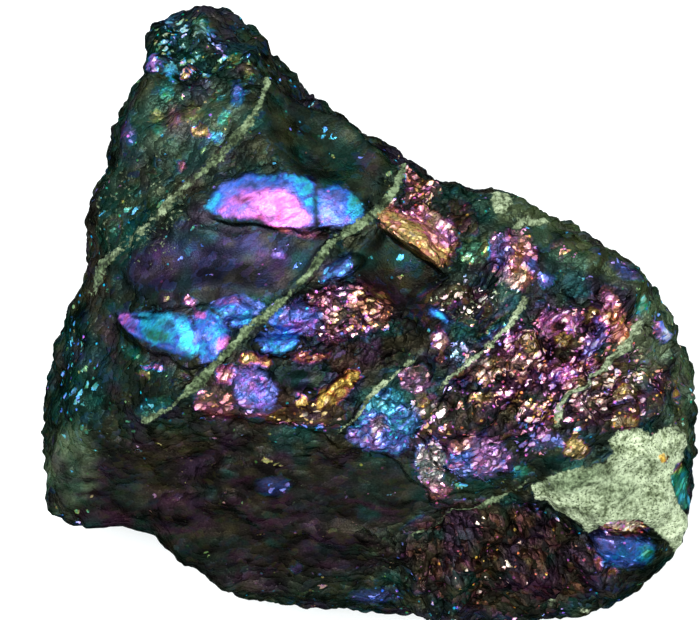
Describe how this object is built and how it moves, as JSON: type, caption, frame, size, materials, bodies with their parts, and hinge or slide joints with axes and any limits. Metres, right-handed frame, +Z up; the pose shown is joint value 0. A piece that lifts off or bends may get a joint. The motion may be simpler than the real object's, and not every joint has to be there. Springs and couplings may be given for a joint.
{
  "type": "peacock ore specimen",
  "caption": "Broken lump of tarnished copper ore with raised veins and bright iridescent facets, lying on its back.",
  "frame": {"origin": "centre of the lump's bounding box in plan, on the rest facet's plane", "axes": "+Z up, away from the rest facet and out of the bright face; +X along the lump's greatest width; +Y towards the narrow lobe"},
  "size_m": [0.0346, 0.0328, 0.0191],
  "materials": {
    "ore": "dark metallic lustre with an iridescent tarnish from gold through magenta and violet to blue and teal, grey-green veins and a speckled matrix patch"
  },
  "bodies": {
    "root": {"peacock_ore": "ore"}
  },
  "joints": []
}
